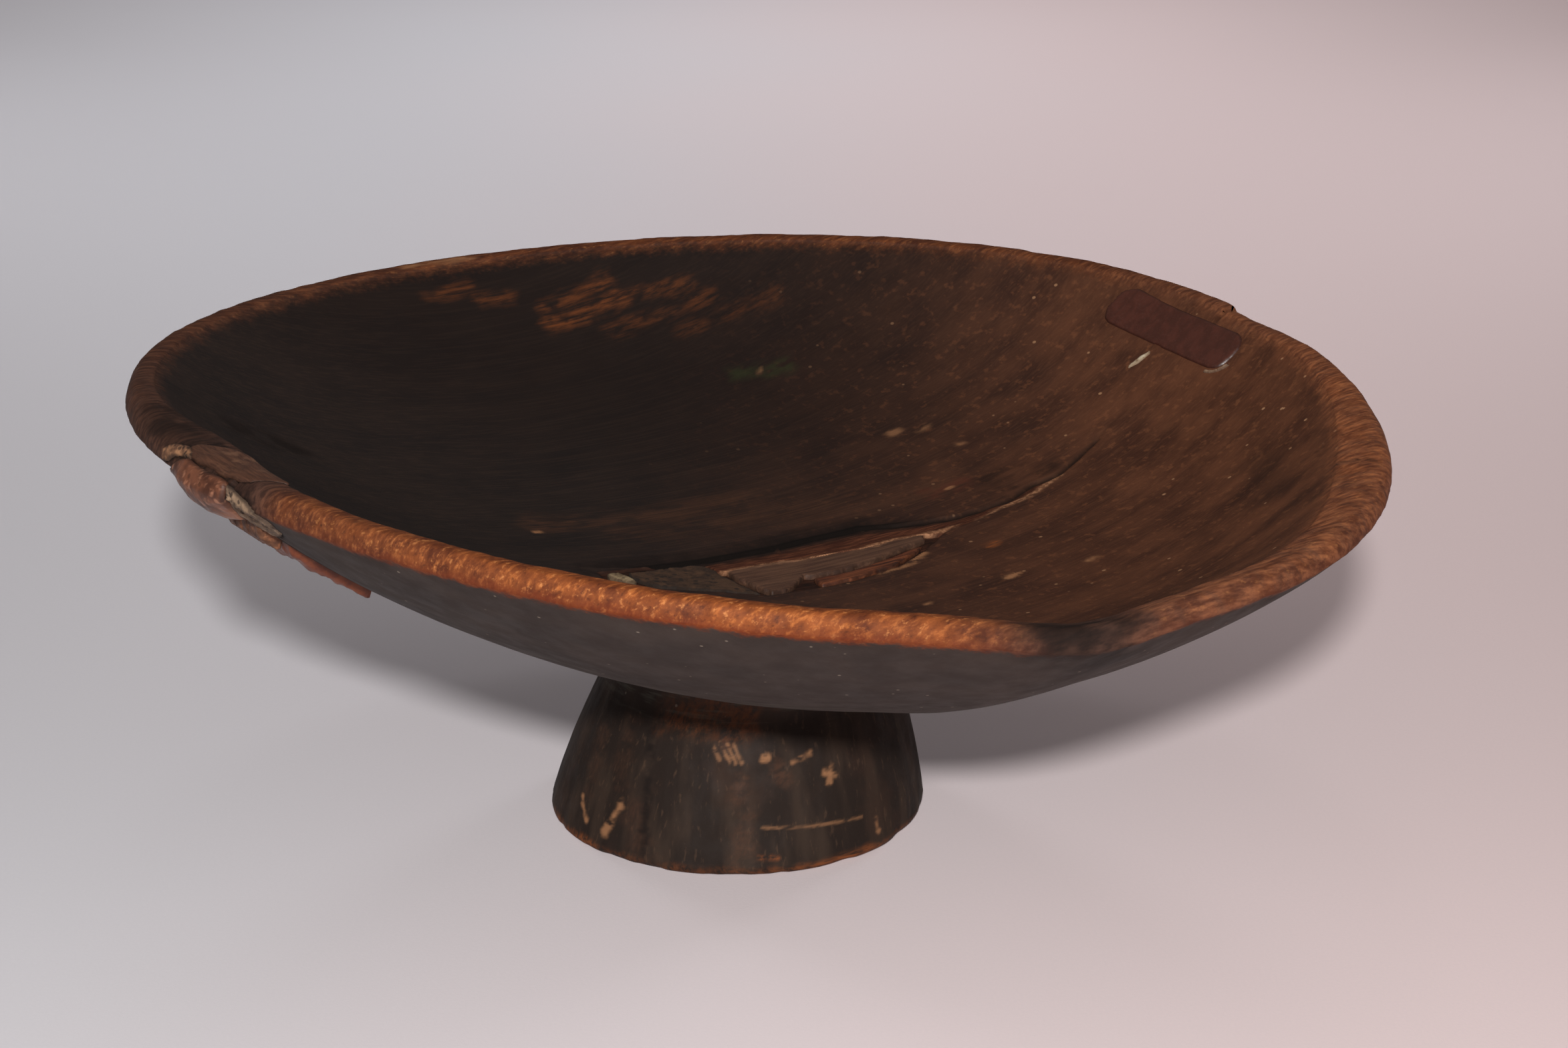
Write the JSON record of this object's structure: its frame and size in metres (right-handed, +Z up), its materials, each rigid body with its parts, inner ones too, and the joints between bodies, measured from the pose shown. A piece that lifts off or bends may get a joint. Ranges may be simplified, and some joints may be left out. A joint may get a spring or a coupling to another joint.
{
  "type": "footed wooden dish",
  "caption": "Shallow round dish on a thick conical foot, carved from one block of dark wood, with a mended broken rim, a filled split along the grain and a patch inside the wall",
  "frame": {"origin": "on the ground under the middle of the rim's outline", "axes": "+Z is up, out of the hollow; +Y points away from the front, where the pictured side of the dish is; +X is to the right seen from the front"},
  "size_m": [0.3256, 0.3248, 0.1272],
  "materials": {
    "dark_wood": "hand carved, worn smooth and darkened by use",
    "broken_wood": "broken pieces of the same wood, with the grain showing",
    "brown_resin": "lump of hardened brown resin, slightly glossy",
    "red_resin": "hardened red-brown resin squeezed out of the split",
    "pale_putty": "dry pale putty with small pits",
    "patch_leather": "smooth dull red-brown patch",
    "dark_filler": "dull brown-green filler"
  },
  "bodies": {
    "root": {"dish_and_foot": "dark_wood", "rim_fragment": "broken_wood", "rim_lump": "brown_resin", "rim_putty": "pale_putty", "rim_edge_filler": "pale_putty", "rim_splinter": "broken_wood", "split_resin": "red_resin", "wall_patch": "patch_leather", "patch_bedding": "pale_putty", "wall_putty_streak": "pale_putty", "floor_sliver": "broken_wood", "floor_sliver_small": "broken_wood", "floor_crack_filler": "dark_filler", "floor_putty_spot": "pale_putty"}
  },
  "joints": []
}
